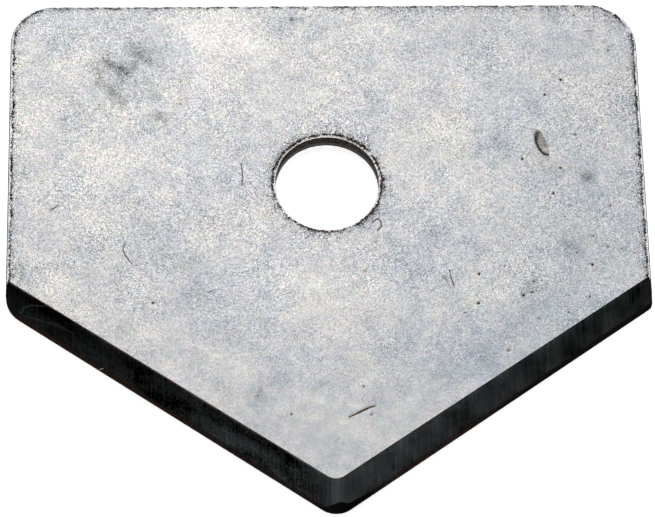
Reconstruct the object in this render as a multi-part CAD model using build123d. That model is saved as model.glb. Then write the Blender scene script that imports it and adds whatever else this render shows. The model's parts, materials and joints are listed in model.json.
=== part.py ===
from build123d import *
import os
from math import atan2, cos, radians, tan

# Replacement blade of a plastic pipe cutter, in millimetres: a punched five-sided plate of hardened steel
# with one fixing bore and a V-shaped cutting edge that is ground from both faces.
# It lies flat, with its point towards -Y and its back edge towards +Y. The origin is the centre of the bore,
# halfway through the plate, and the cutting edge lies at that height.

# Plate
blade_width = 37.0
overall_length = 33.0  # from the back edge to where the two cutting edges would meet in a sharp point
side_length = 20.0  # from the back edge to where a side would meet its cutting edge
plate_thickness = 1.0
point_offset = 0.13  # the point is ground this far to the right of the middle
rim_roll = 0.2  # rounding that the punch and the tumbling barrel leave along the sides and the back

# Corners, seen from above
back_left_radius = 2.5
back_right_radius = 2.9
front_left_radius = 1.6  # this corner is rubbed rounder than the other
front_right_radius = 0.5
point_radius = 1.4  # the cutting edge round the point

# Fixing bore
bore_diameter = 6.0
bore_to_back = 12.0  # from the centre of the bore to the back edge
bore_roll = 0.2  # rounding of the bore's upper rim, where the punch went in
bore_ease = 0.06  # rounding of its lower rim, where the barrel has only taken the burr off

# Cutting edge
bevel_width = 1.63  # seen from above, square to the cutting edge, halfway along it
bevel_run_out = 0.09  # the upper bevel is this much narrower at the sides and wider at the point
ridge_radius = 0.8  # rounding of the ridge where two bevels meet
hone_width = 0.18  # the narrow second bevel that carries the edge itself
hone_angle = 30.0  # its slope from the middle of the plate, in degrees
edge_land = 0.03  # what is left of the plate's thickness at the very edge

back_y = bore_to_back
side_front_y = back_y - side_length
point_y = back_y - overall_length
edge_slope = atan2(overall_length - side_length, blade_width / 2)


def v_line(lift=0.0):
    """The left corner, the point and the right corner of the V; lift moves the corners forward and the point back."""
    left = Vector(-blade_width / 2, side_front_y - lift)
    point = Vector(point_offset, point_y + lift)
    right = Vector(blade_width / 2, side_front_y - lift)
    return left, point, right


def round_corner(outline, corner, radius):
    nearest = outline.vertices().sort_by_distance(corner)[0]
    return fillet(nearest, radius)


def blank_outline():
    """The blade seen from above: a square back, two sides and the V, with every corner rounded."""
    left, point, right = v_line()
    back_left = Vector(left.X, back_y)
    back_right = Vector(right.X, back_y)
    outline = make_face(Polyline(back_left, left, point, right, back_right, close=True))
    outline = round_corner(outline, back_left, back_left_radius)
    outline = round_corner(outline, back_right, back_right_radius)
    outline = round_corner(outline, left, front_left_radius)
    outline = round_corner(outline, right, front_right_radius)
    return round_corner(outline, point, point_radius)


def punched_blank():
    """The plate as it leaves the punch and the tumbling barrel: full thickness, with rolled rims and the bore."""
    blank = extrude(blank_outline(), amount=plate_thickness / 2, both=True)
    faces = blank.faces().sort_by(Axis.Z)
    blank = fillet(faces[0].edges() + faces[-1].edges(), rim_roll)
    blank -= Cylinder(bore_diameter / 2, plate_thickness)
    for group, radius in ((-1, bore_roll), (0, bore_ease)):
        rims = blank.edges().filter_by(GeomType.CIRCLE).filter_by(
            lambda rim: abs(rim.radius - bore_diameter / 2) < 1e-6 and rim.is_closed
        )
        blank = fillet(rims.sort_by(Axis.Z)[group], radius)
    return blank


def stone_pass(face_side, start, slope, nose_radius, run_out=0.0):
    """What two strokes of the grinding stone leave standing below one face (face_side 1) or above it (-1).

    start is how far inside the cutting edge the ground flats cross the middle of the plate, and slope is how
    steeply they climb from there. The V slides back along the ridge as it climbs, so its nose keeps its radius.
    """
    reach = plate_thickness
    back_step = reach / tan(slope) / cos(edge_slope)
    left, point, right = v_line(run_out / cos(edge_slope))
    far_left = point + (left - point) * 2
    far_right = point + (right - point) * 2
    far_back = back_y + overall_length + back_step
    outline = make_face(
        Polyline(far_left, point, far_right, (far_right.X, far_back), (far_left.X, far_back), close=True)
    )
    outline = round_corner(outline, point, nose_radius)
    lowest = Pos(0, start / cos(edge_slope) - back_step, -face_side * reach) * outline
    climb = Vector(0, 2 * back_step, face_side * 2 * reach)
    return extrude(lowest, amount=climb.length, dir=climb.normalized())


def ground_edge(blade):
    """The bevel and the narrow hone on both faces. What one face's bevel gains towards the point, the other loses."""
    hone_slope = radians(hone_angle)
    hone_start = -edge_land / 2 / tan(hone_slope)
    hone_height = edge_land / 2 + hone_width * tan(hone_slope)
    bevel_slope = atan2(plate_thickness / 2 - hone_height, bevel_width - hone_width)
    bevel_start = hone_width - hone_height / tan(bevel_slope)
    for face_side in (1, -1):
        blade &= stone_pass(face_side, bevel_start, bevel_slope, ridge_radius, face_side * bevel_run_out)
        blade &= stone_pass(face_side, hone_start, hone_slope, point_radius)
    return blade


os.makedirs("parts", exist_ok=True)
blade = ground_edge(punched_blank())
export_step(blade, "parts/blade.step")
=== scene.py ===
import json
from math import atan2, ceil, cos, hypot, pi, radians, sin, tan

import bmesh
import bpy
import numpy as np
from mathutils import Matrix, Vector, noise
from mathutils.geometry import delaunay_2d_cdt


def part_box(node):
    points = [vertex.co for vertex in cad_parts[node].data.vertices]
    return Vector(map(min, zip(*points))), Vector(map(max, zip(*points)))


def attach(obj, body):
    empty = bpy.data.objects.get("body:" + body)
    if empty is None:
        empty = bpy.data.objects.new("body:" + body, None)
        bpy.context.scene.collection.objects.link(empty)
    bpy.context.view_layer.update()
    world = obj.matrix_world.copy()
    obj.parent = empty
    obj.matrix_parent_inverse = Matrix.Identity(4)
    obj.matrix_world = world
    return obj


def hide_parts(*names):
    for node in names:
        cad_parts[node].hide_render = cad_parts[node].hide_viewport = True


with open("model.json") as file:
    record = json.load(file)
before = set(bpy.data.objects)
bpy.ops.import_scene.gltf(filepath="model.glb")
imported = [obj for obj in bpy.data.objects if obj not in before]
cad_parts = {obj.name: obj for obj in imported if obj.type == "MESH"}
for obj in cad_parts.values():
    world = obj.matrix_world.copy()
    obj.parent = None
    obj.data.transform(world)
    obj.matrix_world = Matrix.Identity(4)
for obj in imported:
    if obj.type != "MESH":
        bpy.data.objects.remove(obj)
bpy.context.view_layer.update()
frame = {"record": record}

# The looks of a replacement blade for a plastic pipe cutter: a punched, tumbled and ground plate of hardened
# steel. Shapes are worked out in millimetres, mostly as heights over the plan seen from above, and are scaled
# to metres when a mesh is made.
MM = 0.001

# Plate, from the CAD node
low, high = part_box("blade")
half_width = high.x / MM
back_y = high.y / MM
half_thickness = high.z / MM
bore_mount = next(mount for mount in frame["record"]["mounts"] if mount["kind"] == "bore")
bore_radius = bore_mount["dims"]["r_mm"]

# The V, the corners and the rolled rims, as the CAD node has them apart from the two that say otherwise
side_front_y = -8.0  # where a side would meet its cutting edge
point_x = 0.13
point_y = -21.0  # where the two cutting edges would meet
back_left_radius = 2.5
back_right_radius = 2.9
front_left_radius = 1.9  # this corner is rubbed rounder than the CAD has it
front_right_radius = 0.5
point_radius = 1.4
rim_roll = 0.2
back_roll = 0.13  # the back edge is left sharper than the CAD has it
back_roll_reach = 1.0  # over this much of Y its corners go from one to the other
bore_roll = {1: 0.2, -1: 0.06}  # on the upper face and below

# Ground edge
bevel_width = 1.63
bevel_run_out = 0.09
ridge_radius = 0.8
ridge_left = -0.27  # X where its rounding begins to catch the light
hone_width = 0.18
hone_tan = tan(radians(30.0))
tip_hone_tan = 0.37  # flatter, so wider, near the point
tip_hone_x = 0.8
tip_hone_reach = 1.8
edge_land = 0.03
edge_turn = atan2(side_front_y - point_y, half_width)
edge_cos = cos(edge_turn)
hone_height = edge_land / 2 + hone_width * hone_tan
bevel_tan = (half_thickness - hone_height) / (bevel_width - hone_width)

# How finely the surfaces are divided, and how near their rims and lines loose points may come
rim_step = 0.06
bore_step = 0.055
column_step = 0.055  # between the columns of points on a bevel
upper_grid = 0.25
lower_grid = 0.45
grid_to_rims = 0.1
grid_to_bevel = 0.45
points_to_wall = 0.004
points_to_edge = 0.02
lines_to_wall = 0.03
thinnest_wall = 0.2  # a lower one, such as the cutting edge's land, is not divided
merge_gap = 0.002

# What punching, tumbling and grinding leave
face_wear = 0.006  # how far the faces lie under the plate's full thickness
ripple_height = 0.004
ripple_length = 2.6
fine_ripple_height = 0.0015
fine_ripple_length = 0.5
torn_depth = 0.022  # of the ragged line where a rolled rim leaves a face
torn_width = 0.034
torn_reach = 0.9  # further in from a rolled rim nothing is torn
torn_sway = 0.028  # how far that line strays in its longer waves
torn_sway_length = 0.35
torn_shake = 0.03  # and in its shorter ones
torn_shake_length = 0.14
torn_patch_length = 0.5  # of the stretches over which it is more or less torn
torn_shift = 0.03  # round the bore that line lies this much nearer the wall
torn_far_shift = 0.035  # and this much further from it on the far side
bite_depth = 0.06  # of the bites broken out of the near part of the bore's upper rim
bite_length = 0.14
back_bite_depth = 0.05  # of the bites along the back edge
back_bite_length = 0.4
rim_wander = 0.05  # how far the whole line along the sides and the back wanders
rim_wander_length = 0.8
bore_scale_reach = 0.24  # how far grains of scale lie past that line
left_scale_reach = 0.13
right_scale_reach = 0.22
left_torn_share = 0.5  # how much of the bore's torn look the other rims have
right_torn_share = 0.56
back_torn_share = 0.4
smooth_from = -6.0  # Y from which the grain of the faces is rubbed smoother, towards the point
smooth_to = -16.0
smooth_grain = 0.28  # the share of the grain that is left there
broken_top = 0.055  # how far below the face the broken wall's scale ends on the rolled rims
back_broken_rise = 0.01  # and how much higher it reaches along the back
bore_broken_top = 0.13
far_broken_rise = 0.075
broken_softness = 0.025
fracture_depth = 0.014  # of the grain in the broken part of the punched wall
fracture_grain = 0.09
sheared_share = 0.42  # of the punched wall, from below, that is smooth
sheared_sway = 0.06  # how far the border between the two parts strays
sheared_softness = 0.05
streak_height = 0.0016  # of the grinding marks on the bevels
streak_width = 0.11
streak_length = 6.0


# Plan of the blade

def edge_y(x, lift=0.0, nose=point_radius):
    """Y of the V at x. lift moves its corners forward and its point back, and nose rounds its point."""
    corner = side_front_y - lift
    point = point_y + lift
    fall = (point - corner) / (point_x + half_width)
    rise = (corner - point) / (half_width - point_x)
    fall_length = hypot(1, fall)
    rise_length = hypot(1, rise)
    nose_x = point_x + nose * (rise_length - fall_length) / (fall - rise)
    nose_y = point + (nose_x - point_x) * fall + nose * fall_length
    first = nose_x + nose * fall / fall_length
    last = nose_x + nose * rise / rise_length
    left = point + (x - point_x) * fall
    right = point + (x - point_x) * rise
    arc = nose_y - np.sqrt(np.maximum(nose**2 - (x - nose_x) ** 2, 0))
    return np.where(x < first, left, np.where(x > last, right, arc))


def ridge_y(x, face_side):
    """Y of the V that the bevel of one face follows (face_side is 1 on the upper face and -1 below)."""
    return edge_y(x, face_side * bevel_run_out / edge_cos, ridge_radius)


def bevel_line(x, face_side):
    """Y where the bevel runs into the flat face."""
    return ridge_y(x, face_side) + bevel_width / edge_cos


def bell(gap, width):
    """1 where the gap is nought, falling softly to 0 on both sides."""
    return np.exp(-((gap / width) ** 2))


def hone_slope(x):
    """How steeply the hone climbs, which is less near the point."""
    return hone_tan - (hone_tan - tip_hone_tan) * bell(x - tip_hone_x, tip_hone_reach)


def hone_line(x, face_side):
    """Y where the hone runs into the bevel."""
    gain = (ridge_y(x, face_side) - edge_y(x)) * edge_cos
    rise = hone_height - edge_land / 2 - (gain + hone_width) * bevel_tan
    return edge_y(x) + rise / (hone_slope(x) - bevel_tan) / edge_cos


class Corner:
    """A rounded corner of the plan, from one angle of its outward direction to another."""

    def __init__(self, x, y, radius, start, end):
        self.x = x
        self.y = y
        self.radius = radius
        self.start = start
        self.end = end

    def holds(self, x, y):
        turn = (np.arctan2(y - self.y, x - self.x) - self.start) % (2 * pi)
        return turn <= self.end - self.start

    def point(self, angle):
        return self.x + self.radius * cos(angle), self.y + self.radius * sin(angle)


def front_corner(side, radius):
    """The corner where the left (-1) or right (1) side meets its cutting edge."""
    run = half_width - side * point_x
    drop = side_front_y - point_y
    slope = drop / run
    x = side * (half_width - radius)
    y = side_front_y - radius * slope + radius * hypot(1, slope)
    outward = atan2(-run, side * drop)
    return Corner(x, y, radius, outward, 0) if side > 0 else Corner(x, y, radius, pi, outward + 2 * pi)


def back_corner(side, radius):
    """The square corner where the left (-1) or right (1) side meets the back."""
    start = 0 if side > 0 else pi / 2
    return Corner(side * (half_width - radius), back_y - radius, radius, start, start + pi / 2)


# In the order in which the outline runs, anticlockwise from the right end of the V
corners = [
    front_corner(1, front_right_radius),
    back_corner(1, back_right_radius),
    back_corner(-1, back_left_radius),
    front_corner(-1, front_left_radius),
]


def rim_foot(x, y):
    """How far inside the sides and the back a point lies, and the nearest point on them."""
    gaps = np.stack([x + half_width, half_width - x, back_y - y])
    nearest = gaps.argmin(axis=0)
    inset = gaps.min(axis=0)
    foot_x = np.choose(nearest, [np.full_like(x, -half_width), np.full_like(x, half_width), x])
    foot_y = np.where(nearest == 2, back_y, y)
    for corner in corners:
        held = corner.holds(x, y) & (np.hypot(x - corner.x, y - corner.y) < corner.radius * 1.5)
        reach = np.hypot(x - corner.x, y - corner.y) + 1e-9
        inset = np.where(held, corner.radius - reach, inset)
        foot_x = np.where(held, corner.x + (x - corner.x) * corner.radius / reach, foot_x)
        foot_y = np.where(held, corner.y + (y - corner.y) * corner.radius / reach, foot_y)
    return inset, foot_x, foot_y


def rim_path():
    """Points and outward directions along the corners, the sides and the back."""
    path = []
    for corner, following in zip(corners, corners[1:] + [None]):
        count = max(6, ceil((corner.end - corner.start) * corner.radius / rim_step))
        for angle in np.linspace(corner.start, corner.end, count + 1):
            path.append((*corner.point(angle), cos(angle), sin(angle)))
        if following:
            start = np.array(corner.point(corner.end))
            end = np.array(following.point(following.start))
            count = ceil(hypot(*(end - start)) / rim_step)
            for share in np.linspace(0, 1, count + 1)[1:-1]:
                path.append((*(start + (end - start) * share), cos(corner.end), sin(corner.end)))
    return np.array(path)


def edge_columns():
    """X of the columns of points on the bevels, between the front corners' ends."""
    first = corners[-1].point(corners[-1].end)[0]
    last = corners[0].point(corners[0].start)[0]
    return np.linspace(first, last, ceil((last - first) / column_step) + 1)[1:-1]


def bevel_columns():
    """The same columns, carried on to the sides."""
    x = edge_columns()
    step = x[1] - x[0]
    left = np.arange(x[0] - step, -half_width, -step)[::-1]
    right = np.arange(x[-1] + step, half_width, step)
    return np.concatenate([left, x, right])


def bore_ring(radius):
    """Points on a circle round the bore, as many at any radius."""
    count = ceil(2 * pi * bore_radius / bore_step)
    angles = np.linspace(0, 2 * pi, count, endpoint=False)
    return np.stack([radius * np.cos(angles), radius * np.sin(angles)], axis=1)


# Marks on the upper face, placed after the photograph

dent_x = 12.7
dent_y = 2.55
dent_left = 0.45  # how far the dent bulges to the left of its longer axis
dent_right = 0.19
dent_half_length = 0.88
dent_turn = radians(18)
dent_depth = 0.11
burr_height = 0.004  # of the metal pushed up outside its steep wall
burr_out = 1.22  # where it lies, counted so that the dent ends at 1
burr_width = 0.13
shade_out = 0.92  # where its wall is darkest
shade_width = 0.2
glint_width = 0.35

pit_steepness = 0.3  # a pit's depth as a share of its radius
deepest_pit_radius = 0.1  # a wider pit is no deeper

# X, Y, radius and darkness
pits = [
    (11.4, 1.5, 0.09, 0.8), (13.6, 0.9, 0.09, 0.8), (13.11, -0.77, 0.085, 1.0), (14.6, 3.1, 0.09, 0.6),
    (10.7, 1.7, 0.07, 0.5), (16.8, 8.8, 0.07, 0.9), (13.3, 7.4, 0.07, 0.6), (13.9, 6.8, 0.1, 1.0),
    (14.9, 11.2, 0.08, 0.7), (12.9, 5.8, 0.08, 1.0), (8.5, -7.88, 0.09, 1.0), (11.1, -7.4, 0.1, 0.85),
    (13.65, -8.5, 0.07, 0.6), (7.7, -8.5, 0.07, 0.6), (14.9, -7.5, 0.07, 0.7), (8.6, -6.0, 0.09, 1.0),
    (10.1, -5.5, 0.07, 0.6), (15.15, -5.45, 0.1, 0.8), (-10.1, -7.7, 0.09, 0.8), (10.1, -10.9, 0.09, 0.6),
    (15.3, -3.6, 0.07, 0.6), (16.1, -4.3, 0.08, 0.6), (14.3, -4.7, 0.07, 0.5), (13.7, -2.3, 0.07, 0.6),
    (16.4, -1.6, 0.08, 0.6), (11.6, -7.2, 0.08, 0.8), (11.7, -6.5, 0.07, 0.6), (11.9, -8.9, 0.07, 0.4),
    (-1.9, 11.0, 0.12, 0.5), (-2.3, -14.8, 0.08, 0.6), (1.8, -13.1, 0.08, 0.5), (-10.9, 9.45, 0.08, 0.7),
    (-12.2, 4.5, 0.08, 0.5), (-8.5, 6.8, 0.08, 0.5), (-8.5, 5.3, 0.08, 0.5), (2.1, -5.8, 0.1, 0.4),
    (2.2, -14.86, 0.08, 0.5), (-17.72, 10.98, 0.14, 0.6), (12.5, 3.28, 0.06, 0.6), (12.93, 1.8, 0.08, 0.8),
    (12.55, 2.15, 0.07, 0.9), (12.68, 2.02, 0.05, 0.8), (12.78, 2.35, 0.04, 0.7), (12.4, 2.5, 0.05, 0.7),
]

# Specks of stain along lines: points, half width and strength
stains = [
    ([(-12.9, 8.15), (-12.1, 7.85), (-11.6, 7.55)], 0.46, 1.0),
    ([(13.6, -3.8), (14.2, -4.6)], 0.35, 0.5),
    ([(-11.3, 9.3), (-10.7, 8.6), (-10.3, 8.4)], 0.42, 0.8),
    ([(-13.4, 7.6), (-13.0, 6.6), (-12.5, 6.0), (-12.0, 5.6)], 0.35, 0.75),
    ([(-12.1, 7.2), (-11.9, 6.4)], 0.25, 0.6),
    ([(-10.4, 6.6), (-9.9, 5.7)], 0.3, 0.45),
    ([(-9.9, 4.75), (-9.5, 4.35)], 0.28, 0.7),
    ([(-8.0, 7.6), (-8.3, 6.4), (-8.6, 5.2)], 0.3, 0.4),
    ([(14.8, 0.3), (15.4, 0.25)], 0.2, 0.9),
    ([(12.2, 1.3), (13.4, 0.6), (14.3, 0.9)], 0.5, 0.4),
    ([(11.4, -7.1), (11.75, -6.3)], 0.2, 0.6),
    ([(-4.5, -13.6), (-3.9, -13.35)], 0.22, 0.75),
    ([(-1.1, -13.1), (-0.6, -12.8)], 0.18, 0.5),
    ([(-17.6, -5.2), (-17.5, -6.3)], 0.2, 0.7),
    ([(-17.6, 1.2), (-17.3, 0.3)], 0.2, 0.5),
    ([(-8.4, -5.6), (-7.9, -4.9)], 0.3, 0.4),
]
stain_stray = 0.3  # how far they stray from those lines
stain_stray_length = 0.6

# Points, half width, depth and darkness
scratches = [
    ([(2.6, -2.61), (2.83, -2.37), (3.03, -2.5), (3.08, -2.85), (2.84, -3.16)], 0.036, 0.016, 0.9),
    ([(-4.98, 1.25), (-4.93, 0.85), (-4.9, 0.4), (-4.96, -0.12)], 0.032, 0.012, 0.9),
    ([(-11.7, -3.9), (-11.82, -4.3), (-11.7, -4.62), (-11.38, -5.1)], 0.033, 0.012, 0.9),
    ([(-15.92, -1.62), (-15.58, -1.38)], 0.045, 0.014, 0.85),
    ([(1.0, -14.95), (1.27, -14.82), (1.59, -14.65)], 0.05, 0.014, 0.85),
    ([(1.47, -14.71), (1.59, -14.65), (2.0, -14.45)], 0.058, 0.018, 1.05),
    ([(2.0, -14.45), (2.18, -14.37), (2.41, -14.31)], 0.05, 0.014, 0.85),
    ([(15.5, 10.08), (15.95, 10.14)], 0.035, 0.012, 0.45),
    ([(6.92, -5.75), (6.97, -6.2), (7.15, -6.75)], 0.04, 0.01, 0.8),
    ([(6.55, -6.1), (6.85, -6.7)], 0.04, 0.01, 0.45),
]

# Rubbed lines on the left bevel, and a nick beside its edge: points, half width and brightness
rubs = [
    ([(-17.64, -8.14), (-17.4, -7.82), (-17.02, -7.73), (-16.26, -7.84)], 0.05, 0.6),
    ([(-17.45, -8.33), (-16.54, -8.63), (-15.5, -8.99), (-14.55, -9.58)], 0.06, 0.4),
    ([(-13.12, -11.67), (-12.94, -11.65), (-12.75, -11.6)], 0.02, 0.55),
]

# Soft blots in the skin of the steel: X, Y, radius and strength, which is below zero on a cleaner patch
cleaner_patches = [
    (-8.7, 10.7, 1.3, -0.9), (-6.4, 10.4, 2.2, -0.9), (-4.4, 9.3, 1.4, -0.8), (-7.3, 9.4, 1.7, -0.5),
    (-15.5, 10.5, 2.0, -0.6), (-16.5, 4.7, 1.6, -0.3), (-7.5, 6.0, 2.0, -0.5), (-15.2, 0.3, 2.0, -0.4),
    (-7.4, 0.0, 2.6, -0.2), (-17.0, -3.2, 1.2, -0.25), (-2.5, -6.5, 2.8, -0.3), (-5.0, -9.5, 1.5, -0.3),
    (-11.4, 1.0, 2.0, -0.2), (5.7, -0.8, 2.4, -0.15),
]
stains_at_the_left = [
    (-12.2, 7.8, 0.5, 1.0), (-10.9, 8.5, 0.5, 0.8), (-12.6, 6.3, 0.5, 0.75), (-11.5, 7.6, 1.7, 0.6),
    (-9.7, 4.4, 0.5, 0.7), (-10.0, 5.9, 0.6, 0.35), (-9.0, -4.3, 2.3, 0.7), (-8.3, -7.2, 0.7, 0.6),
    (-10.8, -9.1, 1.9, 0.2), (-14.6, -5.2, 0.9, 0.4), (-17.5, 0.7, 0.5, 0.5), (-17.4, -6.0, 1.0, 0.8),
]
stains_near_the_point = [
    (-4.2, -13.5, 0.8, 0.6), (-0.8, -12.9, 0.8, 0.35), (1.5, -11.7, 2.6, 0.2), (4.0, -13.7, 2.2, 0.35),
    (6.5, -12.5, 1.8, 0.3), (-5.1, -15.0, 1.1, 0.5), (1.0, -15.7, 1.6, 0.15),
]
stains_at_the_right = [
    (9.6, -9.8, 2.4, 0.3), (12.3, -7.6, 2.8, 0.35), (11.3, -7.1, 0.6, 0.8), (13.9, -4.2, 0.6, 0.8),
    (15.4, -4.6, 1.8, 0.45), (6.9, -6.5, 0.5, 0.5), (8.1, -5.2, 1.2, 0.25), (15.1, 0.3, 0.6, 1.0),
    (15.9, -0.7, 1.2, 0.45), (12.7, 0.5, 1.4, 0.4), (9.0, 2.4, 2.0, 0.5), (14.8, 3.3, 0.6, 0.5),
    (13.5, -1.8, 3.5, 0.3), (12.7, 2.6, 0.8, 0.5), (8.0, 9.7, 2.0, 0.4), (10.5, 10.6, 1.5, 0.3),
    (13.8, 11.1, 0.6, 0.8), (14.7, 8.2, 2.3, 0.25), (16.5, 5.5, 1.6, 0.35), (12.6, 5.5, 2.0, 0.15),
    (-1.9, 11.0, 0.5, 0.9), (16.9, -7.7, 0.9, 0.4),
]
blots = cleaner_patches + stains_at_the_left + stains_near_the_point + stains_at_the_right


def ragged(x, y, size, seed):
    """Smooth noise of about -1 to 1 over the plan, in blobs of that size."""
    return np.array([noise.noise((a / size, b / size, seed)) for a, b in zip(x, y)]) * 1.6


def line_gap(x, y, points):
    """Distance to a broken line through those points."""
    gap = np.full_like(x, half_width)
    for start, end in zip(points, points[1:]):
        run = np.subtract(end, start)
        share = np.clip(((x - start[0]) * run[0] + (y - start[1]) * run[1]) / run.dot(run), 0, 1)
        gap = np.minimum(gap, np.hypot(x - start[0] - share * run[0], y - start[1] - share * run[1]))
    return gap


def round_mark(share):
    """1 in the middle of a round mark, falling softly outwards; share is the distance over its radius."""
    return np.exp(-1.4 * share**2)


def dent_shape(x, y):
    """Depth, grime and painted shade of the one large dent: steep on its left, with a low burr outside that
    wall.
    """
    across = (x - dent_x) * cos(dent_turn) + (y - dent_y) * sin(dent_turn)
    across = across / np.where(across < 0, dent_left, dent_right)
    along = ((y - dent_y) * cos(dent_turn) - (x - dent_x) * sin(dent_turn)) / dent_half_length
    out = np.hypot(across, along)
    bowl = np.clip(1 - out**2, 0, 1) ** 0.7 * (1 - 0.45 * np.clip(across, -1, 1))
    burr = bell(out - burr_out, burr_width) * np.clip(0.6 - across, 0, 1)
    wall = bell(out - shade_out, shade_width) * np.clip(0.3 - across, 0, 1)
    film_and_shade = 0.44 * np.clip(1.05 - out, 0, 1) ** 0.3 + 0.5 * np.clip(-along - 0.5, 0, 1) * (out < 1)
    # Painted shade: the film is darker towards the dent's left and lighter towards its right
    film_and_shade = film_and_shade * (1 - 0.3 * np.clip(across, -0.4, 1))
    # Painted highlight along the dent's right edge
    lit = bell(out - 1, glint_width) * np.clip(across, 0, 1)
    # Painted shade of the steep wall goes into both grime and shade; the shade also carries the painted
    # highlight, below zero
    return dent_depth * bowl - burr_height * burr, film_and_shade + 0.5 * wall, 2.4 * wall - 0.8 * lit


def mark_shape(x, y):
    """Depth, grime and painted shade of the upper face's marks."""
    depth, grime, shade = dent_shape(x, y)
    # Pits and scratches are darkened, partly as grime and partly as painted shade in their hollows
    for pit_x, pit_y, radius, dark in pits:
        cup = round_mark(np.hypot(x - pit_x, y - pit_y) / radius)
        depth = depth + pit_steepness * min(radius, deepest_pit_radius) * cup
        grime = np.maximum(grime, dark * np.clip(cup * 1.6, 0, 1))
    for points, half, deep, dark in scratches:
        cup = bell(line_gap(x, y, points), half)
        depth = depth + deep * cup
        grime = np.maximum(grime, dark * cup)
    return depth, np.clip(grime, 0, 1), shade


def along_lines(x, y, lines):
    """Strength of the strongest of some soft lines, each given as points, half width and strength."""
    total = np.zeros_like(x)
    for points, half, strength in lines:
        total = np.maximum(total, strength * bell(line_gap(x, y, points), half))
    return total


def blot_tone(x, y):
    """How dark the soft blots make the skin, below zero where it is cleaner."""
    tone = np.zeros_like(x)
    for blot_x, blot_y, radius, strength in blots:
        wobble = np.maximum(1 + 0.35 * ragged(x, y, radius * 0.7, blot_x), 0.3)
        reach = np.hypot(x - blot_x, y - blot_y) / (radius * wobble)
        tone = tone + strength * round_mark(reach)
    return tone


# Heights over the plan

def roll_radius(foot_y):
    """Radius of the rolled rim at a point on the sides or the back."""
    return rim_roll + (back_roll - rim_roll) * np.clip((foot_y - back_y) / back_roll_reach + 1, 0, 1)


def rolled(inset, radius):
    """Height of a rolled rim over the plate's middle, that far in from its wall."""
    back = np.clip(radius - inset, 0, radius)
    return half_thickness - radius + np.sqrt(radius**2 - back**2)


def torn_line(inset, foot_x, foot_y, seed):
    """How far points lie past the ragged line where a rolled rim leaves the face, and how torn it is."""
    sway = torn_sway * ragged(foot_x, foot_y, torn_sway_length, seed)
    sway = sway + torn_shake * ragged(foot_x, foot_y, torn_shake_length, seed + 3)
    torn = np.clip(0.75 + 0.6 * ragged(foot_x, foot_y, torn_patch_length, seed + 11), 0.15, 1)
    return inset - sway, torn


def torn_skin(x, y, face_side, seed):
    """The same for the nearest rim of the whole plan, and how thick loose scale lies past that line."""
    gap = np.ones_like(x)
    torn = np.zeros_like(x)
    fringe = np.zeros_like(x)
    inset, foot_x, foot_y = rim_foot(x, y)
    scale_reach = np.where(foot_x < 0, left_scale_reach, right_scale_reach)
    strength = np.where(foot_x < 0, left_torn_share, right_torn_share)
    strength = strength + (back_torn_share - strength) * np.clip(foot_y - back_y + 1, 0, 1)
    wander = rim_wander * ragged(foot_x, foot_y, rim_wander_length, seed + 60)
    rim = (inset - roll_radius(foot_y) + wander, foot_x, foot_y, strength, scale_reach)
    reach = np.maximum(np.hypot(x, y), 0.1)
    share = bore_radius / reach
    past_roll = reach - bore_radius - bore_roll[face_side]
    past_roll = past_roll + torn_shift - torn_far_shift * np.clip(y / reach, 0, 1)
    bore = (past_roll, x * share, y * share, 1 + 0.25 * x / reach, np.full_like(x, bore_scale_reach))
    for inset, foot_x, foot_y, strength, scale_reach in (rim, bore):
        near = inset < torn_reach
        past_line, line_torn = torn_line(inset[near], foot_x[near], foot_y[near], seed)
        gap[near] = np.minimum(past_line, 1)
        torn[near] = line_torn * strength[near]
        thickness = np.exp(-np.abs(past_line) / scale_reach[near]) * (past_line > 0.02)
        fringe[near] = line_torn * (0.5 + 0.5 * strength[near]) * thickness
        seed += 40
    return gap, torn, fringe


def ground_levels(x, y, face_side):
    """Heights of the hone and of the bevel, carried on over the whole plan."""
    hone = edge_land / 2 + (y - edge_y(x)) * edge_cos * hone_slope(x)
    bevel = hone_height + ((y - ridge_y(x, face_side)) * edge_cos - hone_width) * bevel_tan
    return hone, bevel


def rim_levels(x, y, face_side):
    """Heights of the rolled rims of the plate and of the bore, each carried on over the whole plan."""
    inset, _, foot_y = rim_foot(x, y)
    return rolled(inset, roll_radius(foot_y)), rolled(np.hypot(x, y) - bore_radius, bore_roll[face_side])


def rim_level(x, y, face_side):
    """The lower of the two, which is the one that shows."""
    return np.minimum(*rim_levels(x, y, face_side))


def broken_skin(x, y):
    """How far the brown-black scale of the broken wall reaches up the rolled rims of the upper face.

    It reaches highest on the far side of the bore and along the back, and ends low on the sides.
    """
    drops = half_thickness - np.array(rim_levels(x, y, 1))
    back = np.clip((y - back_y) / back_left_radius + 1, 0, 1)
    far = np.clip(y / bore_radius * 2, 0, 1)
    tops = np.array([broken_top - back_broken_rise * back, bore_broken_top - far_broken_rise * far])
    return np.clip((drops - tops) / broken_softness, 0, 1).max(axis=0)


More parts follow.
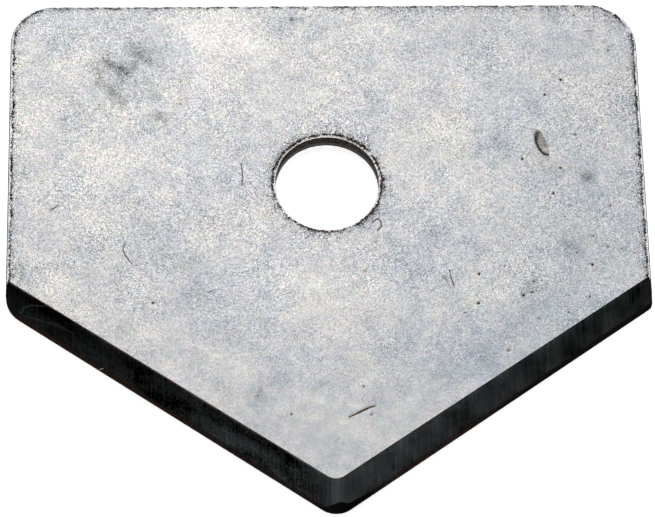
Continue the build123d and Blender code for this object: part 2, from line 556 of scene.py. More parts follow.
def face_shape(x, y, face_side):
    """Height of one face over the plate's middle, and the values that its finishes read there."""
    seed = 20.0 + face_side
    gap, torn, fringe = torn_skin(x, y, face_side, seed)
    if face_side > 0:
        marks, grime, shade = mark_shape(x, y)
        # The dent's painted shade and painted highlight join the blots
        blot = blot_tone(x, y) + shade
        rub = along_lines(x, y, rubs)
        stray_x = stain_stray * ragged(x, y, stain_stray_length, seed=71.0)
        stray_y = stain_stray * ragged(x, y, stain_stray_length, seed=79.0)
        stain = along_lines(x + stray_x, y + stray_y, stains)
    else:
        marks = np.zeros_like(x)
        grime = np.zeros_like(x)
        blot = 0.5 * ragged(x, y, size=4.0, seed=61.0) + 0.3 * ragged(x, y, size=1.5, seed=67.0)
        rub = np.zeros_like(x)
        stain = np.zeros_like(x)
    ripple = ripple_height * (0.5 + 0.5 * ragged(x, y, ripple_length, seed))
    ripple = ripple + fine_ripple_height * (1 + ragged(x, y, fine_ripple_length, seed + 5))
    hone, bevel = ground_levels(x, y, face_side)
    ground = np.minimum(hone, bevel)
    fringe = fringe * (ground > half_thickness)
    spots = zip(x / streak_width, y / streak_length)
    streak = np.array([noise.noise((across, 3.0 * face_side, along)) for across, along in spots])
    streak = streak_height * (1 + streak) * np.clip(ground / edge_land - 1, 0, 1)
    groove = torn_depth * torn * bell(gap, torn_width)
    flat = half_thickness - face_wear - ripple - groove
    level = np.minimum(np.minimum(flat, ground - streak), rim_level(x, y, face_side))
    level = level - marks * np.clip(level / edge_land - 1, 0, 1)
    unworn = np.clip((y - smooth_to) / (smooth_from - smooth_to), 0, 1)
    values = {
        "torn": torn,
        "torn_gap": gap,
        "grime": grime,
        "blot": blot,
        "rub": rub,
        "broken": broken_skin(x, y) if face_side > 0 else np.zeros_like(x),
        "stain": stain,
        "edge_gap": np.clip((y - edge_y(x)) * edge_cos, 0, 2),
        "line_gap": np.clip((bevel_line(x, face_side) - y) * edge_cos, -1, 2),
        # Nearness to the bore, where rust grains lie and where the rims get a painted highlight
        "rust": np.exp(-np.abs(np.hypot(x, y) - bore_radius) / 0.5),
        "fringe": fringe,
        "grain": unworn * (1 - smooth_grain) + smooth_grain + 1.3 * fringe,
    }
    return level, values


# Mesh of the whole blade

FACE, RIM, BEVEL, HONE, WALL = range(5)
value_names = [
    "torn", "torn_gap", "grime", "blot", "rub", "broken",
    "stain", "edge_gap", "line_gap", "rust", "fringe", "grain",
]

# Rows of points on each face, by how far they lie in from a wall, in from the edge and past the bevel line
rim_insets = {
    1: [0.012, 0.047, 0.094, 0.148, 0.19, 0.22, 0.25, 0.28, 0.32, 0.38, 0.47],
    -1: [0.019, 0.07, 0.148, 0.2, 0.235, 0.28, 0.36],
}
bevel_rows = {1: [0.04, 0.1, 0.32, 0.5, 0.75, 1.0, 1.25, 1.45], -1: [0.07, 0.4, 0.8, 1.2]}
line_rows = (0.12, 0.32)

# Rings of points round a mark, in shares of its radius: the dent's, and a pit's with how many points each has
dent_rings = (0, 0.25, 0.5, 0.7, 0.85, 0.95, 1.02, 1.12, 1.22, 1.35, 1.6)
dent_ring_count = 56
pit_rings = ((0, 1), (0.5, 6), (1.0, 10), (1.6, 12), (2.4, 12))
scratch_rows = (-2.5, -1.4, -0.7, 0, 0.7, 1.4, 2.5)  # in shares of a scratch's half width


def grid_points(spacing):
    """Points of a triangular grid over the whole plan."""
    row_gap = spacing * sin(pi / 3)
    points = []
    for row, y in enumerate(np.arange(point_y, back_y, row_gap)):
        shift = spacing / 2 * (row % 2)
        points += [(x + shift, y) for x in np.arange(-half_width, half_width, spacing)]
    return np.array(points)


def mark_points():
    """Extra points on the upper face's marks, so that the mesh follows them."""
    points = []
    for out in dent_rings:
        for angle in np.linspace(0, 2 * pi, dent_ring_count if out else 1, endpoint=False):
            across = out * cos(angle) * (dent_left if cos(angle) < 0 else dent_right)
            along = out * dent_half_length * sin(angle)
            x = dent_x + across * cos(dent_turn) - along * sin(dent_turn)
            points.append((x, dent_y + across * sin(dent_turn) + along * cos(dent_turn)))
    for pit_x, pit_y, radius, _ in pits:
        for out, count in pit_rings:
            for angle in np.linspace(0, 2 * pi, count, endpoint=False):
                points.append((pit_x + out * radius * cos(angle), pit_y + out * radius * sin(angle)))
    for line, half, *_ in scratches + rubs:
        for start, end in zip(line, line[1:]):
            run = np.subtract(end, start)
            length = hypot(*run)
            side = np.array((-run[1], run[0])) / length
            for share in np.arange(0, length, half) / length:
                centre = start + run * share
                points += [tuple(centre + side * half * row) for row in scratch_rows]
    return np.array(points)


def loose_points(x, face_side):
    """Points of one face that no line joins: along its rims and bevel, on its marks and in a grid."""
    path = rim_path()
    insets = rim_insets[face_side]
    loose = [path[:, :2] - path[:, 2:] * inset for inset in insets]
    bore_share = bore_roll[face_side] / rim_roll
    loose += [bore_ring(bore_radius + inset * bore_share) for inset in insets]
    loose += [np.stack([x, edge_y(x) + row / edge_cos], axis=1) for row in bevel_rows[face_side]]
    loose += [np.stack([x, bevel_line(x, face_side) + row], axis=1) for row in line_rows]
    grid = grid_points(upper_grid if face_side > 0 else lower_grid)
    clear = rim_foot(*grid.T)[0] > insets[-1] + grid_to_rims
    clear &= np.hypot(*grid.T) > bore_radius + insets[-1] * bore_share + grid_to_rims
    clear &= grid[:, 1] > bevel_line(grid[:, 0], face_side) + grid_to_bevel
    loose.append(grid[clear])
    if face_side > 0:
        loose.append(mark_points())
    loose = np.concatenate(loose)
    inside = rim_foot(*loose.T)[0] > points_to_wall
    inside &= loose[:, 1] > edge_y(loose[:, 0]) + points_to_edge
    return loose[inside]


def face_sheet(face_side, outline):
    """One face of the blade out to its walls, as points and triangles over the plan."""
    x = bevel_columns()
    lines = [np.stack([x, line(x, face_side)], axis=1) for line in (bevel_line, hone_line)]
    lines = [line[rim_foot(*line.T)[0] > lines_to_wall] for line in lines]
    points = []
    edges = []
    for ring in (outline, bore_ring(bore_radius)):
        first = len(points)
        points += [tuple(p) for p in ring]
        edges += [(first + i, first + (i + 1) % len(ring)) for i in range(len(ring))]
    for line in lines:
        first = len(points)
        points += [tuple(p) for p in line]
        edges += [(first + i, first + i + 1) for i in range(len(line) - 1)]
    points += [tuple(p) for p in loose_points(x, face_side)]
    made, _, triangles, _, _, _ = delaunay_2d_cdt([Vector(p) for p in points], edges, [], 0, 1e-6, False)
    plan = np.array([tuple(p) for p in made])
    triangles = np.array(triangles)
    middle = plan[triangles].mean(axis=1)
    kept = (rim_foot(*middle.T)[0] > 1e-4) & (np.hypot(*middle.T) > bore_radius - 1e-4)
    kept &= middle[:, 1] > edge_y(middle[:, 0]) + 1e-4
    return plan, triangles[kept], middle[kept]


def face_zones(middle, face_side):
    """The finish of each triangle, by its middle."""
    x, y = middle.T
    hone, bevel = ground_levels(x, y, face_side)
    rims = rim_level(x, y, face_side)
    zones = np.full(len(x), FACE)
    zones[rims < half_thickness - 1e-5] = RIM
    zones[(bevel < half_thickness) & (bevel < rims)] = BEVEL
    zones[(hone < bevel) & (hone < rims) & (hone < half_thickness)] = HONE
    return zones


def wall_strip(outline, outward, rows, seed):
    """The wall between the faces along a closed outline, with its broken band over its sheared one.

    The outline has the steel on its left, and outward points away from it. Along the V, where the wall is
    only the cutting edge's land, it has a single row.
    """
    x, y = outline.T
    tops = face_shape(x, y, 1)[0]
    bottoms = -face_shape(x, y, -1)[0]
    points = []
    broken = []
    columns = []
    for i, (top, bottom) in enumerate(zip(tops, bottoms)):
        count = rows if top - bottom > thinnest_wall else 1
        columns.append(range(len(points), len(points) + count + 1))
        sway = sheared_sway * noise.noise((x[i] * 2.2, y[i] * 2.2, seed))
        border = bottom + sheared_share * (top - bottom) + sway
        for z in np.linspace(top, bottom, count + 1):
            share = min(max((z - border) / sheared_softness, 0), 1) * (count > 1)
            grain = noise.noise((x[i] / fracture_grain, y[i] / fracture_grain, z / fracture_grain + seed))
            push = fracture_depth * share * max(0.6 + grain, 0) if bottom < z < top else 0
            points.append((x[i] - outward[i][0] * push, y[i] - outward[i][1] * push, z))
            broken.append(share)
    polygons = []
    zones = []
    for here, after in zip(columns, columns[1:] + columns[:1]):
        if len(here) == len(after):
            for row in range(len(here) - 1):
                polygons.append((here[row + 1], after[row + 1], after[row], here[row]))
                zones.append(WALL if len(here) > 2 else HONE)
        else:
            polygons.append((here[-1], *after[::-1], *here[:-1]))
            zones.append(WALL)
    values = dict.fromkeys(value_names, np.zeros(len(points)))
    values["broken"] = broken
    return points, polygons, zones, values


def bitten(points):
    """The points with ragged bites out of the back's upper rim and the near part of the bore's."""
    x, y, z = points.T
    nearness = np.clip(1 - (back_y - y) / back_roll / 2, 0, 1) * np.clip(2 * z / half_thickness, 0, 1)
    rim = nearness > 0
    bite = np.clip(ragged(x[rim], np.zeros(rim.sum()), back_bite_length, seed=97.0) + 0.2, 0, 1)
    y = y.copy()
    y[rim] -= back_bite_depth * bite * nearness[rim]
    reach = np.hypot(x, y)
    rim = (reach < bore_radius + bite_length * 2) & (y < 0) & (z > 0)
    share = bore_radius / reach[rim]
    bite = np.zeros_like(x)
    bite[rim] = np.clip(ragged(x[rim] * share, y[rim] * share, bite_length, seed=91.0) + 0.2, 0, 1)
    bite *= np.clip(-2 * y / bore_radius, 0, 1) * np.clip(2 * z / half_thickness, 0, 1)
    bite *= bite_depth * np.clip(1 - (reach - bore_radius) / bite_length / 2, 0, 1)
    push = 1 + bite / np.maximum(reach, bore_radius / 2)
    return np.column_stack([x * push, y * push, z])


def join_parts(name, parts, materials):
    """One welded mesh in metres from parts of (points, polygons, finish numbers, point values by name)."""
    points = bitten(np.concatenate([np.array(part[0]) for part in parts]))
    points = np.clip(points, [side / MM for side in low], [side / MM for side in high])
    polygons = []
    zones = []
    values = {key: [] for key in value_names}
    first = 0
    for part_points, part_polygons, part_zones, part_values in parts:
        polygons += [[first + int(corner) for corner in polygon] for polygon in part_polygons]
        zones += [int(zone) for zone in part_zones]
        for key in values:
            values[key] += [float(value) for value in part_values[key]]
        first += len(part_points)
    mesh = bpy.data.meshes.new(name)
    mesh.from_pydata(points.tolist(), [], polygons)
    mesh.polygons.foreach_set("material_index", zones)
    for key, numbers in values.items():
        mesh.attributes.new(key, "FLOAT", "POINT").data.foreach_set("value", numbers)
    for material in materials:
        mesh.materials.append(material)
    body = bmesh.new()
    body.from_mesh(mesh)
    bmesh.ops.remove_doubles(body, verts=body.verts, dist=merge_gap)
    bmesh.ops.dissolve_degenerate(body, edges=body.edges, dist=merge_gap / 4)
    for face in body.faces:
        face.smooth = True
    for edge in body.edges:
        meeting = {face.material_index for face in edge.link_faces}
        edge.smooth = len(meeting) == 1 or meeting <= {FACE, RIM} or meeting == {RIM, WALL}
    bmesh.ops.scale(body, vec=(MM, MM, MM), verts=body.verts)
    body.to_mesh(mesh)
    body.free()
    piece = bpy.data.objects.new(name, mesh)
    bpy.context.scene.collection.objects.link(piece)
    return piece


def blade_body(materials):
    """The whole blade as one closed mesh: both faces, the outer wall and the wall of the bore."""
    path = rim_path()
    x = edge_columns()
    front = np.stack([x, edge_y(x)], axis=1)
    outline = np.concatenate([path[:, :2], front])
    outward = np.concatenate([path[:, 2:], np.tile((0.0, -1.0), (len(front), 1))])
    parts = []
    for face_side in (1, -1):
        plan, triangles, middle = face_sheet(face_side, outline)
        level, values = face_shape(*plan.T, face_side)
        points = np.column_stack([plan, level * face_side])
        parts.append((points, triangles[:, ::face_side], face_zones(middle, face_side), values))
    ring = bore_ring(bore_radius)[::-1]
    parts.append(wall_strip(outline, outward, rows=7, seed=5.0))
    parts.append(wall_strip(ring, -ring / bore_radius, rows=14, seed=9.0))
    return join_parts("blade_body", parts, materials)


# Shader maths

class Wire:
    """A value, colour or vector on its way through one tree of nodes."""

    def __init__(self, bench, socket):
        self.bench = bench
        self.socket = socket

    def maths(self, operation, *values, clamp=False):
        settings = {"operation": operation, "use_clamp": clamp}
        return self.bench.add("ShaderNodeMath", settings, dict(enumerate(values)))

    def __add__(self, other):
        return self.maths("ADD", self, other)

    def __radd__(self, other):
        return self.maths("ADD", other, self)

    def __sub__(self, other):
        return self.maths("SUBTRACT", self, other)

    def __rsub__(self, other):
        return self.maths("SUBTRACT", other, self)

    def __mul__(self, other):
        return self.maths("MULTIPLY", self, other)

    def __rmul__(self, other):
        return self.maths("MULTIPLY", other, self)

    def __truediv__(self, other):
        return self.maths("DIVIDE", self, other)

    def clamped(self):
        return self.maths("ADD", self, 0.0, clamp=True)

    def size(self):
        return self.maths("ABSOLUTE", self)

    def beside(self, name):
        """Another output of the same node."""
        return Wire(self.bench, self.socket.node.outputs[name])

    def above(self, level, softness):
        """0 well under the level, 1 well over it."""
        return self.maths("DIVIDE", self - (level - softness / 2), softness, clamp=True)


class Bench:
    """Fills one tree of nodes."""

    def __init__(self, tree):
        self.tree = tree
        tree.nodes.clear()

    def add(self, kind, settings=None, values=None, output=0):
        """Adds a node with its settings and its inputs' values or wires, and gives one of its outputs."""
        node = self.tree.nodes.new(kind)
        for key, setting in (settings or {}).items():
            if key == "stops":
                self.set_stops(node.color_ramp.elements, setting)
            else:
                setattr(node, key, setting)
        for key, value in (values or {}).items():
            socket = self.find(node.inputs, key)
            if isinstance(value, Wire):
                self.tree.links.new(value.socket, socket)
            else:
                socket.default_value = value
        return Wire(self, self.find(node.outputs, output)) if len(node.outputs) else None

    @staticmethod
    def find(sockets, key):
        """A socket by its number, its identifier or its name."""
        named = [socket for socket in sockets if socket.identifier == key]
        return named[0] if named else sockets[key]

    @staticmethod
    def set_stops(elements, stops):
        for index, (place, colour) in enumerate(stops):
            element = elements[index] if index < len(elements) else elements.new(place)
            element.position = place
            element.color = colour

    def place(self, stretch=(1, 1, 1)):
        """The place on the piece, in millimetres times the stretch."""
        spot = self.add("ShaderNodeTexCoord", output="Object")
        scale = [share / MM for share in stretch]
        return self.add("ShaderNodeVectorMath", {"operation": "MULTIPLY"}, {0: spot, 1: scale})

    def along_edge(self, place, stretch):
        """The place turned so that X runs along the left cutting edge, with that axis stretched."""
        turned = {"Vector": place, "Angle": edge_turn}
        turned = self.add("ShaderNodeVectorRotate", {"rotation_type": "Z_AXIS"}, turned)
        return self.add("ShaderNodeVectorMath", {"operation": "MULTIPLY"}, {0: turned, 1: (stretch, 1, 1)})

    def part(self, vector, axis):
        return self.add("ShaderNodeSeparateXYZ", None, {0: vector}, axis)

    def cloud(self, place, size, detail=0.0, rough=0.5, seed=0.0):
        """Noise of 0 to 1 in blobs of that size in millimetres."""
        values = {"Vector": place, "W": seed, "Scale": 1 / size, "Detail": detail, "Roughness": rough}
        return self.add("ShaderNodeTexNoise", {"noise_dimensions": "4D"}, values)

    def crystals(self, place, size, seed):
        """A value of 0 to 1 for each crystal of about that size in millimetres."""
        values = {"Vector": place, "W": seed, "Scale": 1 / size}
        return self.add("ShaderNodeTexVoronoi", {"voronoi_dimensions": "4D"}, values, "Color")

    def coloured(self, cloud, strength):
        """A tint that wanders round white with the noise."""
        rest = 1 - strength / 2
        values = {0: cloud.beside("Color"), 1: (strength,) * 3, 2: (rest,) * 3}
        return self.add("ShaderNodeVectorMath", {"operation": "MULTIPLY_ADD"}, values)

    def mark(self, name):
        """A value kept on the mesh's points."""
        return self.add("ShaderNodeAttribute", {"attribute_name": name}, output="Fac")

    def blend(self, share, first, second):
        values = {"Factor_Float": share, "A_Color": first, "B_Color": second}
        return self.add("ShaderNodeMix", {"data_type": "RGBA"}, values, "Result_Color")

    def shade(self, colour, tone):
        """The colour made lighter or darker by the tone."""
        return self.add("ShaderNodeVectorMath", {"operation": "SCALE"}, {0: colour, "Scale": tone})

    def filtered(self, colour, tint):
        return self.add("ShaderNodeVectorMath", {"operation": "MULTIPLY"}, {0: colour, 1: tint})

    def tinted(self, share, colour, tint):
        """The colour filtered through the tint, by that share."""
        return self.blend(share, colour, self.filtered(colour, tint))

    def bump(self, height, distance):
        """The normal of a surface that is raised by the height times the distance in millimetres."""
        values = {"Height": height, "Distance": distance * MM, "Strength": 1.0}
        return self.add("ShaderNodeBump", None, values)


def new_finish(name, build=None, **fixed):
    """A material whose build function gives the wires of what varies; fixed sockets are set on the shader."""
    material = bpy.data.materials.new(name)
    material.use_nodes = True
    bench = Bench(material.node_tree)
    values = build(bench) if build else {}
    values.update({key.replace("_", " "): value for key, value in fixed.items()})
    shader = bench.add("ShaderNodeBsdfPrincipled", None, values, "BSDF")
    bench.add("ShaderNodeOutputMaterial", None, {"Surface": shader})
    return material


# Colours of what covers the steel, and of steel that is rubbed bright
oxide_black = (0.008, 0.007, 0.007, 1)
scale_brown = (0.17, 0.1, 0.045, 1)
hone_brown = (0.06, 0.032, 0.021, 1)
rust_brown = (0.11, 0.055, 0.028, 1)
# Brown-black of grime in pits, also painted shade in pits and on the dent's steep wall
pit_and_shade_brown = (0.022, 0.016, 0.013, 1)
line_brown = (0.14, 0.065, 0.045, 1)
rubbed_bevel = (0.82, 0.93, 1.0, 1)
rubbed_hone = (0.8, 0.75, 0.7, 1)

# Hues of the bare steel
cool_steel = (0.965, 1.0, 1.06, 1)
warm_steel = (1.038, 0.998, 0.958, 1)
ground_steel = (0.9, 1.0, 1.04)
sheared_steel = (1.0, 1.0, 0.97)

# What the tumbled face is filtered through
fringe_tint = (0.5, 0.54, 0.59)
far_right_tint = (0.93, 0.955, 0.985)
# Blots and the dent's painted shade darken through the first; clean patches and the dent's painted highlight
# lighten through the second
blot_and_shade_tint = (0.7, 0.75, 0.81)
clean_and_highlight_tint = (1.3, 1.27, 1.23)
stain_tint = (0.7, 0.71, 0.65)
# Also painted shade in pits, scratches and the dent
grime_and_shade_tint = (0.62, 0.51, 0.38)


def steel_skin(bench, place, tone, grain):
    """The mottled, grainy skin that every surface of the blade shares, round a tone."""
    wide = bench.cloud(place, 6.0, detail=1.0, rough=0.6, seed=4.0) - 0.5
    broad = bench.cloud(place, 2.6, detail=4.0, rough=1.0, seed=1.0) - 0.5
    middle = bench.cloud(place, 0.2, detail=1.0, rough=0.6, seed=2.0) - 0.5
    fine = bench.crystals(place, 0.042, seed=3.0) - 0.5
    level = 1 + wide * 0.35 + broad * 1.2 + (middle * 0.12 + fine * 1.6) * grain
    hue = bench.cloud(place, 0.22, detail=2.0, rough=0.8, seed=20.0) - 0.5
    warmth = (0.5 + broad * 3.5 + wide * 1.8 + hue * 1.6).clamped()
    tint = bench.blend(warmth, cool_steel, warm_steel)
    speck_tint = bench.coloured(bench.cloud(place, 0.3, detail=2.0, rough=1.0, seed=5.0), 0.34)
    return bench.shade(bench.filtered(tint, speck_tint), level * tone)


def torn_band(bench, place):
    """How much of the ragged line along a rolled rim is torn open and dark."""
    gap = bench.mark("torn_gap")
    torn = bench.mark("torn")
    jitter = bench.cloud(place, 0.12, detail=1.0, rough=0.7, seed=6.0) - 0.5
    bits = bench.cloud(place, 0.08, detail=1.0, rough=0.6, seed=7.0)
    off = (gap + jitter * 0.3).size()
    band = (1 - off / 0.11).clamped() * torn * (bits * 6.5 - 1.7)
    loose = bits - off * 0.6
    return (band.above(0.34, 0.36) + loose.above(0.54, 0.1) * torn * 0.8).clamped()


def torn_colour(bench, place):
    """Black, with grains of rust round the bore."""
    grit = bench.cloud(place, 0.09, detail=1.0, rough=0.6, seed=21.0)
    return bench.blend(grit.above(0.46, 0.2) * bench.mark("rust"), oxide_black, rust_brown)


def tumbled_face(bench):
    """The flat faces: tumbled steel with its stains, grime and torn line, and painted shade and highlight on
    the upper face's marks.
    """
    place = bench.place()
    blot = bench.mark("blot")
    stain = bench.mark("stain")
    uneven = bench.cloud(place, 3.0, detail=1.0, rough=0.6, seed=22.0) * 1.4 + 0.3
    fringe = bench.mark("fringe")
    skin = steel_skin(bench, place, 0.56, bench.mark("grain") * uneven)
    skin = bench.tinted((fringe * 1.1).clamped(), skin, fringe_tint)
    drift = (bench.part(place, "X") * 0.05 - bench.part(place, "Y") * 0.04 + 0.1).clamped()
    skin = bench.tinted(drift, skin, far_right_tint)
    # Blots and the dent's painted shade darken the skin; clean patches and its painted highlight lighten it
    skin = bench.tinted((blot * 0.8).clamped(), skin, blot_and_shade_tint)
    skin = bench.tinted((blot * -0.8).clamped(), skin, clean_and_highlight_tint)
    bits = bench.cloud(place, 0.08, detail=0.0, rough=0.5, seed=8.0)
    patch = bench.cloud(place, 1.3, detail=2.0, rough=0.6, seed=9.0)
    dots = bits.above(0.72, 0.08) * patch.above(0.54, 0.2) * 0.5
    skin = bench.tinted(stain * 0.8, skin, stain_tint)
    stained = (bits + stain * 0.24).above(0.7, 0.12) * stain
    # Grime with painted shade: pits, scratches and the dent's steep wall are darkened
    grime = bench.mark("grime") * (0.55 + bits * 0.9)
    skin = bench.tinted((grime * 1.4).clamped(), skin, grime_and_shade_tint)
    dirt_and_shade = (grime.above(0.55, 0.3) * 0.9 + dots + stained * 0.75).clamped()
    skin = bench.blend(dirt_and_shade, skin, pit_and_shade_brown)
    torn = torn_band(bench, place)
    skin = bench.blend(torn, skin, torn_colour(bench, place))
    height = bits + bench.cloud(place, 0.25, detail=2.0, rough=0.5, seed=10.0) * 2.0
    return {
        "Base Color": skin,
        "Roughness": 0.42 + (bits - 0.5) * 0.1 + torn * 0.3,
        "Normal": bench.bump(height, 0.002),
    }


def scaled_over(bench, place, broken):
    """Where the brown-black scale of the broken steel covers it, and the colour of that scale."""
    grit = bench.cloud(place, 0.09, detail=2.0, rough=0.7, seed=11.0)
    cover = (broken + (grit - 0.5) * 0.9).above(0.5, 0.25)
    grain = bench.cloud(place, 0.07, detail=1.0, rough=0.6, seed=23.0)
    return cover, bench.blend(grain.above(0.63, 0.12), oxide_black, scale_brown)


def burnished_rim(bench):
    """The rolled rims, bright where neither scale nor the torn line covers them; their tone, above bare steel
    and highest next to the bore, is partly a painted highlight.
    """
    place = bench.place()
    # Painted highlight: the rims' tone rises next to the bore
    skin = steel_skin(bench, place, 0.8 + bench.mark("rust") * 0.2, 0.7)
    cover, scale = scaled_over(bench, place, bench.mark("broken"))
    cover = (cover + bench.mark("grime").above(0.4, 0.3) * 0.8).clamped()
    torn = torn_band(bench, place)
    dark = bench.blend(torn, bench.blend(cover, skin, scale), torn_colour(bench, place))
    height = bench.cloud(place, 0.12, detail=2.0, rough=0.5, seed=12.0)
    covered = (cover + torn).clamped()
    return {
        "Base Color": dark,
        "Roughness": 0.32 + covered * 0.4,
        "Metallic": 1 - covered * 0.95,
        "Normal": bench.bump(height, 0.002),
    }


def ground_bevel(bench):
    """The bevels: ground steel, streaked from back to front and smeared along the left edge; their dark tone
    and its mottle are partly painted dark reflection.
    """
    place = bench.place()
    east = bench.part(place, "X")
    left = 1 - east.above(-1.0, 2.0)
    tip = (1 - (east - point_x).size() / 2.5).clamped()
    upper = (1 - bench.mark("line_gap").above(0.55, 0.7)) * left
    streaks = bench.cloud(bench.place((1, 0.05, 0.05)), 0.09, detail=2.0, rough=0.7, seed=13.0)
    broad = bench.cloud(place, 1.5, detail=3.0, rough=0.6, seed=14.0)
    smears = bench.cloud(bench.along_edge(place, 0.25), 0.75, detail=3.0, rough=0.6, seed=24.0)
    broad = broad + (smears - broad) * left
    fine = bench.cloud(place, 0.12, detail=1.0, rough=0.6, seed=15.0)
    change = (streaks - 0.5) * 1.5 + (broad - 0.5) * 3.2 + (fine - 0.5) * (0.7 + left * 1.2)
    # Lighter along the left bevel, and a painted highlight where the ridge's rounding catches the light near
    # the point
    lift_and_ridge_glint = (east * 0.055 + 0.55) * left + tip * (1 - east.above(ridge_left, 0.16)) * 1.1
    level = (1 + change * (1.15 + left * 0.8) * (1 - tip * 0.6)) * (1 + lift_and_ridge_glint)
    # A tone well below bare ground steel, partly painted dark reflection
    skin = bench.shade(ground_steel, (level * (0.29 - left * 0.03 - upper * 0.11)).clamped())
    inner = (1 - bench.mark("line_gap").above(0.06, 0.08)) * left
    outer = 1 - bench.mark("edge_gap").above(hone_width + 0.06, 0.12)
    skin = bench.blend((inner * 0.9 + outer * 0.6).clamped(), skin, line_brown)
    rub = bench.mark("rub")
    return {
        "Base Color": bench.blend(rub * 0.5, skin, rubbed_bevel),
        "Roughness": 0.13 + (streaks - 0.5) * 0.06 + rub * 0.12,
        "Metallic": 1 - inner * 0.7,
        "Normal": bench.bump(streaks, 0.0006),
    }


def honed_edge(bench):
    """The hone: black, with brown grains away from the point and the right end."""
    place = bench.place()
    grit = bench.cloud(place, 0.08, detail=2.0, rough=0.6, seed=16.0)
    east = bench.part(place, "X")
    brown = grit.above(0.56, 0.3) * (1 - east.above(9.0, 4.0)) * (east - tip_hone_x).size().above(1.4, 0.8)
    skin = bench.blend(brown, oxide_black, hone_brown)
    skin = bench.blend(bench.mark("rub").above(0.4, 0.4), skin, rubbed_hone)
    return {"Base Color": skin, "Normal": bench.bump(grit, 0.001)}


def punched_wall(bench):
    """The punched walls: drawn smooth below, broken and scaled over above; the smooth band's tone, far below
    bare steel, is painted shade.
    """
    place = bench.place()
    drawn = bench.cloud(bench.place((1, 1, 0.1)), 0.1, detail=2.0, rough=0.6, seed=17.0)
    mottle = bench.cloud(place, 0.15, detail=2.0, rough=0.6, seed=18.0)
    # Painted shade: the drawn steel is given a tone far below bare steel
    sheared = bench.shade(sheared_steel, drawn * 0.08 + mottle * 0.14 - 0.06)
    cover, scale = scaled_over(bench, place, bench.mark("broken"))
    return {
        "Base Color": bench.blend(cover, sheared, scale),
        "Roughness": 0.35 + cover * 0.35,
        "Metallic": 1 - cover * 0.95,
        "Normal": bench.bump(mottle, 0.006),
    }


def loose_scale(bench):
    """The grains of scale that cling past the rims."""
    grit = bench.cloud(bench.place(), 0.05, detail=1.0, rough=0.6, seed=19.0)
    return {"Base Color": bench.blend(grit.above(0.55, 0.3), oxide_black, scale_brown)}


# Specks of scale along the rims

def speck_tree():
    """Nodes that scatter specks of scale over a mesh, most where its fringe value is high."""
    tree = bpy.data.node_groups.new("scale_specks", "GeometryNodeTree")
    for name, kind in (
        ("Blade", "NodeSocketGeometry"),
        ("Crowding", "NodeSocketFloat"),
        ("Smallest", "NodeSocketVector"),
        ("Largest", "NodeSocketVector"),
        ("Seed", "NodeSocketInt"),
        ("Finish", "NodeSocketMaterial"),
    ):
        tree.interface.new_socket(name, in_out="INPUT", socket_type=kind)
    tree.interface.new_socket("Specks", in_out="OUTPUT", socket_type="NodeSocketGeometry")
    bench = Bench(tree)
    blade = bench.add("NodeGroupInput")
    seed = blade.beside("Seed")
    fringe = bench.add("GeometryNodeInputNamedAttribute", {"data_type": "FLOAT"}, {"Name": "fringe"})
    crowding = fringe * blade.beside("Crowding")
    spread = {"Mesh": blade, "Density": crowding, "Seed": seed}
    points = bench.add("GeometryNodeDistributePointsOnFaces", None, spread)
    sizes = {"Min": blade.beside("Smallest"), "Max": blade.beside("Largest"), "Seed": seed}
    size = bench.add("FunctionNodeRandomValue", {"data_type": "FLOAT_VECTOR"}, sizes)
    grain = bench.add("GeometryNodeMeshIcoSphere", None, {"Radius": 1.0, "Subdivisions": 1})
    specks = {"Points": points, "Instance": grain, "Rotation": points.beside("Rotation"), "Scale": size}
    specks = bench.add("GeometryNodeInstanceOnPoints", None, specks)
    specks = bench.add("GeometryNodeRealizeInstances", None, {"Geometry": specks})
    finished = {"Geometry": specks, "Material": blade.beside("Finish")}
    specks = bench.add("GeometryNodeSetMaterial", None, finished)
    bench.add("NodeGroupOutput", None, {"Specks": specks})
    return tree


def edge_specks(body, finish):
    """Dark specks of scale that cling along the rolled rims, on both faces."""
    piece = bpy.data.objects.new("edge_specks", body.data)
    bpy.context.scene.collection.objects.link(piece)
    tree = speck_tree()
    modifier = piece.modifiers.new("specks", "NODES")
    modifier.node_group = tree
    sizes = {
        "Crowding": 150 / MM**2,
        "Smallest": (0.02 * MM, 0.015 * MM, 0.002 * MM),
        "Largest": (0.06 * MM, 0.045 * MM, 0.004 * MM),
        "Seed": 4,
        "Finish": finish,
    }
    for item in tree.interface.items_tree:
        if item.in_out == "INPUT" and item.name in sizes:
            modifier[item.identifier] = sizes[item.name]
    bpy.context.view_layer.update()
    evaluated = piece.evaluated_get(bpy.context.evaluated_depsgraph_get())
    made = bpy.data.meshes.new_from_object(evaluated)
    # None stands out past the plate's full thickness
    for vertex in made.vertices:
        vertex.co.z = min(max(vertex.co.z, low.z), high.z)
    piece.modifiers.clear()
    piece.data = made
    return piece


# Studio

def pale_floor():
    reach = 2.0
    mesh = bpy.data.meshes.new("floor")
    z = low.z
    corners_at = [(-reach, -reach, z), (reach, -reach, z), (reach, reach, z), (-reach, reach, z)]
    mesh.from_pydata(corners_at, [], [(0, 1, 2, 3)])
    floor = bpy.data.objects.new("floor", mesh)
    bpy.context.scene.collection.objects.link(floor)
    pale = {
        "Base_Color": (0.9, 0.9, 0.9, 1),
        "Roughness": 0.9,
        "Emission_Color": (1, 1, 1, 1),
        "Emission_Strength": 0.62,
    }
    mesh.materials.append(new_finish("pale_board", **pale))


# The dark opening overhead, by the direction in which it is seen
opening_half_width = 0.72
opening_half_depth = 0.48
opening_north = -0.05
# From its left to its right: place and grey
opening_greys = (
    (0.1, 0.012), (0.2, 0.06), (0.3, 0.2), (0.5, 0.6), (0.7, 0.38), (0.78, 0.35), (0.84, 0.17), (0.9, 0.08),
)


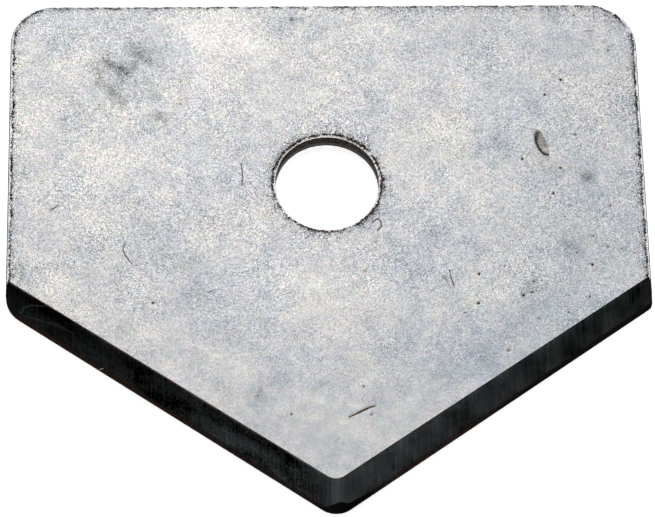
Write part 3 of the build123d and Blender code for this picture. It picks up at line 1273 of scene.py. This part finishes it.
def studio_room():
    """Pale all round, with a dark opening overhead that lets in a little light, least on the left."""
    world = bpy.data.worlds.new("studio")
    bpy.context.scene.world = world
    world.use_nodes = True
    bench = Bench(world.node_tree)
    way = bench.add("ShaderNodeTexCoord", output="Generated")
    east = bench.part(way, "X")
    across = east / opening_half_width
    along = (east.beside("Y") - opening_north) / opening_half_depth
    walls = (across * across + along * along).above(1.0, 0.35)
    stops = [(place, (grey, grey, grey, 1)) for place, grey in opening_greys]
    glow = bench.add("ShaderNodeValToRGB", {"stops": stops}, {0: east + 0.5})
    colour = bench.blend(walls, bench.shade(glow, 0.3), (1.0, 1.0, 1.0, 1))
    background = bench.add("ShaderNodeBackground", None, {"Color": colour, "Strength": 1.0})
    bench.add("ShaderNodeOutputWorld", None, {"Surface": background})


def softbox(name, place, width, length, power):
    """A rectangular light that faces the bore."""
    data = bpy.data.lights.new(name, "AREA")
    data.shape = "RECTANGLE"
    data.size = width
    data.size_y = length
    data.energy = power
    light = bpy.data.objects.new(name, data)
    light.location = place
    light.rotation_euler = (Vector() - Vector(place)).to_track_quat("-Z", "Y").to_euler()
    bpy.context.scene.collection.objects.link(light)


def set_camera():
    """A long lens from in front, looking steeply down on the blade."""
    look_down = radians(62.71)
    turn = radians(-3.7286)
    roll = radians(2.906)
    distance = 224.33 * MM
    aim = Vector((-0.048, -4.4215, -0.5)) * MM
    aimed = Matrix.Rotation(turn, 4, "Z") @ Matrix.Rotation(pi / 2 - look_down, 4, "X")
    aimed = aimed @ Matrix.Rotation(roll, 4, "Z")
    data = bpy.data.cameras.new("camera")
    data.sensor_width = 36.0
    data.lens = 213.61
    data.clip_start = 0.01
    camera = bpy.data.objects.new("camera", data)
    camera.matrix_world = Matrix.Translation(aim + aimed.to_3x3() @ Vector((0, 0, distance))) @ aimed
    bpy.context.scene.collection.objects.link(camera)
    bpy.context.scene.camera = camera


set_camera()
studio_room()
pale_floor()
softbox("back_softbox", (-0.008, 0.075, 0.142), width=0.1, length=0.075, power=0.03)
softbox("front_softbox", (0, -0.2, 0.346), width=0.1, length=0.15, power=0.06)
bpy.context.scene.view_settings.view_transform = "Standard"

dull_scale = {"Specular_IOR_Level": 0.1, "Specular_Tint": (0.6, 0.6, 0.6, 1)}
finishes = [
    new_finish("tumbled_face", tumbled_face, Metallic=0.95),
    new_finish("burnished_rim", burnished_rim, **dull_scale),
    new_finish("ground_bevel", ground_bevel),
    new_finish("honed_edge", honed_edge, Metallic=1.0, Roughness=0.35),
    new_finish("punched_wall", punched_wall, **dull_scale),
]
body = blade_body(finishes)
specks = edge_specks(body, new_finish("loose_scale", loose_scale, Metallic=0.2, Roughness=0.7))
for piece in (body, specks):
    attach(piece, "root")
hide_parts("blade")
